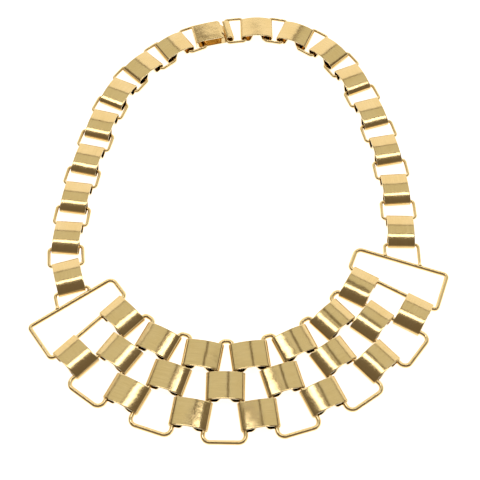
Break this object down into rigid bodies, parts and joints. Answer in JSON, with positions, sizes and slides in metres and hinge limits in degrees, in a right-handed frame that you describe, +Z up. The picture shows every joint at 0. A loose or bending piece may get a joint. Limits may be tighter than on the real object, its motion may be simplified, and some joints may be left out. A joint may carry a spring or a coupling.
{
  "type": "bib necklace",
  "caption": "Gold-tone bib necklace: curled sheet links in staggered rows on wire frames, with a neck chain of the same links on wire rings and a fold-over clasp.",
  "frame": {"origin": "on the table, under the middle of the necklace's box", "axes": "+X to the right, +Y from the bib to the clasp, +Z up out of the front faces"},
  "size_m": [0.1596, 0.198, 0.0044],
  "materials": {
    "plate": "finely brushed and lacquered",
    "wire": "polished"
  },
  "bodies": {
    "necklace": {"bib_frame_1": "wire", "bib_frame_2": "wire", "bib_frame_3": "wire", "bib_frame_4": "wire", "bib_frame_5": "wire", "bib_frame_6": "wire", "bib_frame_7": "wire", "bib_frame_8": "wire", "bib_plate_1_1": "plate", "bib_plate_1_2": "plate", "bib_plate_1_3": "plate", "bib_plate_1_4": "plate", "bib_plate_1_5": "plate", "bib_plate_1_6": "plate", "bib_plate_1_7": "plate", "bib_plate_2_1": "plate", "bib_plate_2_2": "plate", "bib_plate_2_3": "plate", "bib_plate_2_4": "plate", "bib_plate_2_5": "plate", "bib_plate_2_6": "plate", "bib_plate_3_1": "plate", "bib_plate_3_2": "plate", "bib_plate_3_3": "plate", "bib_plate_3_4": "plate", "bib_plate_3_5": "plate", "bib_plate_3_6": "plate", "bib_plate_3_7": "plate", "neck_link_left_1": "plate", "neck_link_left_2": "plate", "neck_link_left_3": "plate", "neck_link_left_4": "plate", "neck_link_left_5": "plate", "neck_link_left_6": "plate", "neck_link_left_7": "plate", "neck_link_left_8": "plate", "neck_link_right_1": "plate", "neck_link_right_2": "plate", "neck_link_right_3": "plate", "neck_link_right_4": "plate", "neck_link_right_5": "plate", "neck_link_right_6": "plate", "neck_link_right_7": "plate", "neck_link_right_8": "plate", "clasp_base": "plate"},
    "cover": {"clasp_cover": "plate"}
  },
  "joints": [
    {"name": "clasp_lever", "type": "hinge", "parent": "necklace", "child": "cover", "pos_m": [-0.00927, 0.09039, 0.0031], "axis": [-0.2419, 0.9703, 0], "range_deg": [0, 110]}
  ]
}
